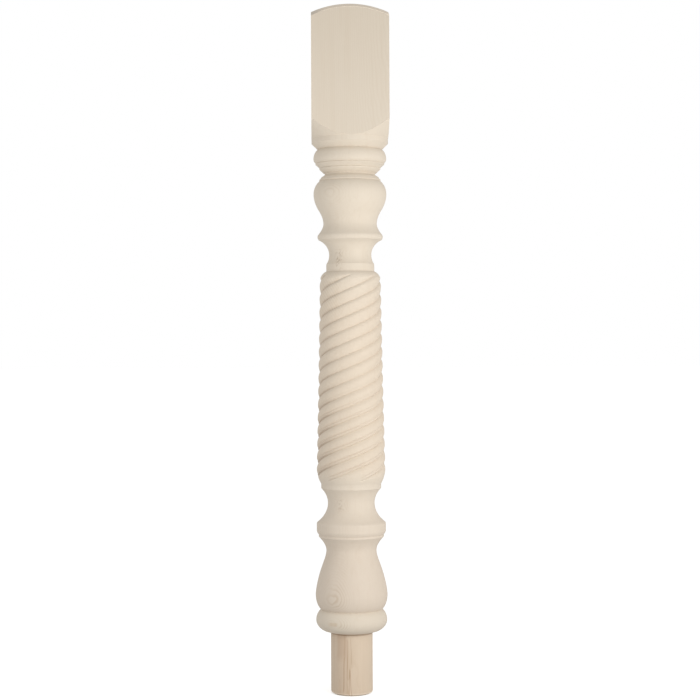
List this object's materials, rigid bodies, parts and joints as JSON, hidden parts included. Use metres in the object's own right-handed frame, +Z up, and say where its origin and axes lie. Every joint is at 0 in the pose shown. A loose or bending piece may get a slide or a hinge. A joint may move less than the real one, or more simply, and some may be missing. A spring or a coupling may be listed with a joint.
{
  "type": "newel post",
  "caption": "Turned wooden newel post with a square block and domed head, twist-reeded middle, vase and bead turnings, and a round spigot at the foot.",
  "frame": {"origin": "middle of the spigot's underside, where the post stands", "axes": "+Z up along the post's axis, X and Y square to the faces of the block"},
  "size_m": [0.09, 0.09, 0.808],
  "materials": {
    "softwood": "bare sanded pale softwood, unfinished"
  },
  "bodies": {
    "root": {"newel_post": "softwood"}
  },
  "joints": []
}
